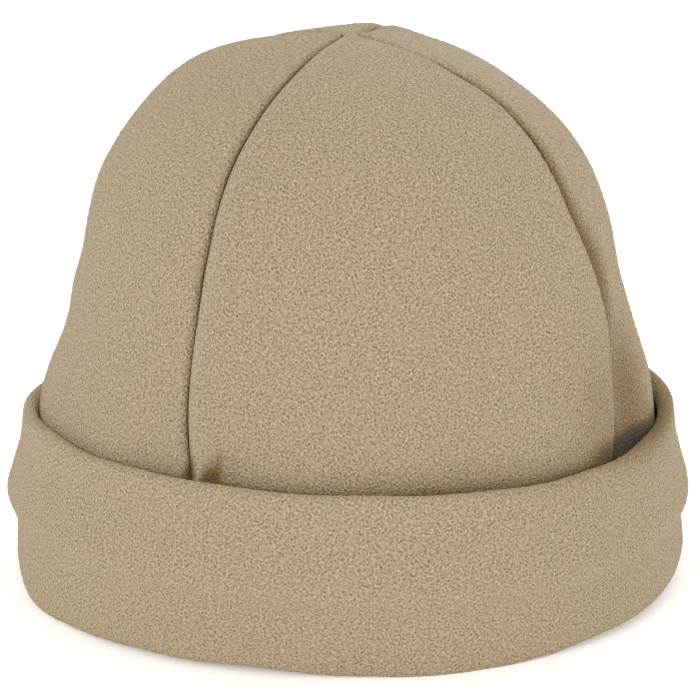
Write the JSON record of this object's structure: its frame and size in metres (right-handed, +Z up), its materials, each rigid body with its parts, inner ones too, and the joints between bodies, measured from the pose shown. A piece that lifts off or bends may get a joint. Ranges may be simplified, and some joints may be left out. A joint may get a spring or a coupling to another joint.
{
  "type": "fleece beanie",
  "caption": "Plain fleece beanie with a domed crown sewn from panels and a deep turned-up cuff, hollow and open below, standing on its rim.",
  "frame": {"origin": "middle of the rim, on the surface that the beanie stands on", "axes": "+Z up through the top of the crown, -Y out of the front panel, +X towards the right panel as seen from the front"},
  "size_m": [0.2158, 0.2151, 0.1719],
  "materials": {
    "fleece": "tan fleece with a short curled pile, no shine"
  },
  "bodies": {
    "root": {"crown_front": "fleece", "crown_right": "fleece", "crown_back": "fleece", "crown_left": "fleece", "cuff": "fleece"}
  },
  "joints": []
}
